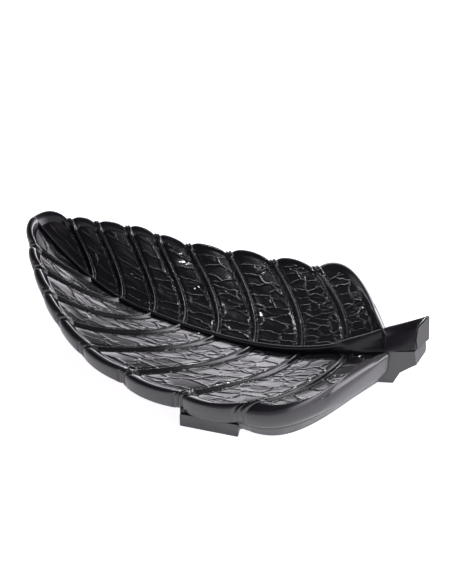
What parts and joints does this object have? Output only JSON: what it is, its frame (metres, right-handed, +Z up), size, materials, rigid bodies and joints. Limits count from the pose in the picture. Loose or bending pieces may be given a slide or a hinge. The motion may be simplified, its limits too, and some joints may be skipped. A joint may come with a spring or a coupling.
{
  "type": "leaf-shaped dish",
  "caption": "Shallow leaf-shaped dish with raised veins, a scalloped rim, an upturned stem and a flat-bottomed base that it stands on.",
  "frame": {"origin": "middle of the footprint, on the ground", "axes": "+X from the leaf's tip to its stem, +Y away from the name tab, +Z up"},
  "size_m": [0.3511, 0.2004, 0.0562],
  "materials": {
    "leaf_gloss": "gloss black with a fine crinkled relief",
    "stem_gloss": "gloss black",
    "base_satin": "satin black",
    "tab_satin": "satin black",
    "pad_rubber": "matt",
    "screw_steel": "zinc plated"
  },
  "bodies": {
    "root": {"leaf_shell": "leaf_gloss", "stem_spine": "stem_gloss", "stem_foot": "base_satin", "stem_end_cap": "stem_gloss", "base_shell": "base_satin", "name_tab": "tab_satin", "base_screws": "screw_steel", "stem_screws": "screw_steel", "stem_pad": "pad_rubber", "pad_tip_back": "pad_rubber", "pad_tip_front": "pad_rubber", "pad_stem_back": "pad_rubber", "pad_stem_front": "pad_rubber"}
  },
  "joints": []
}
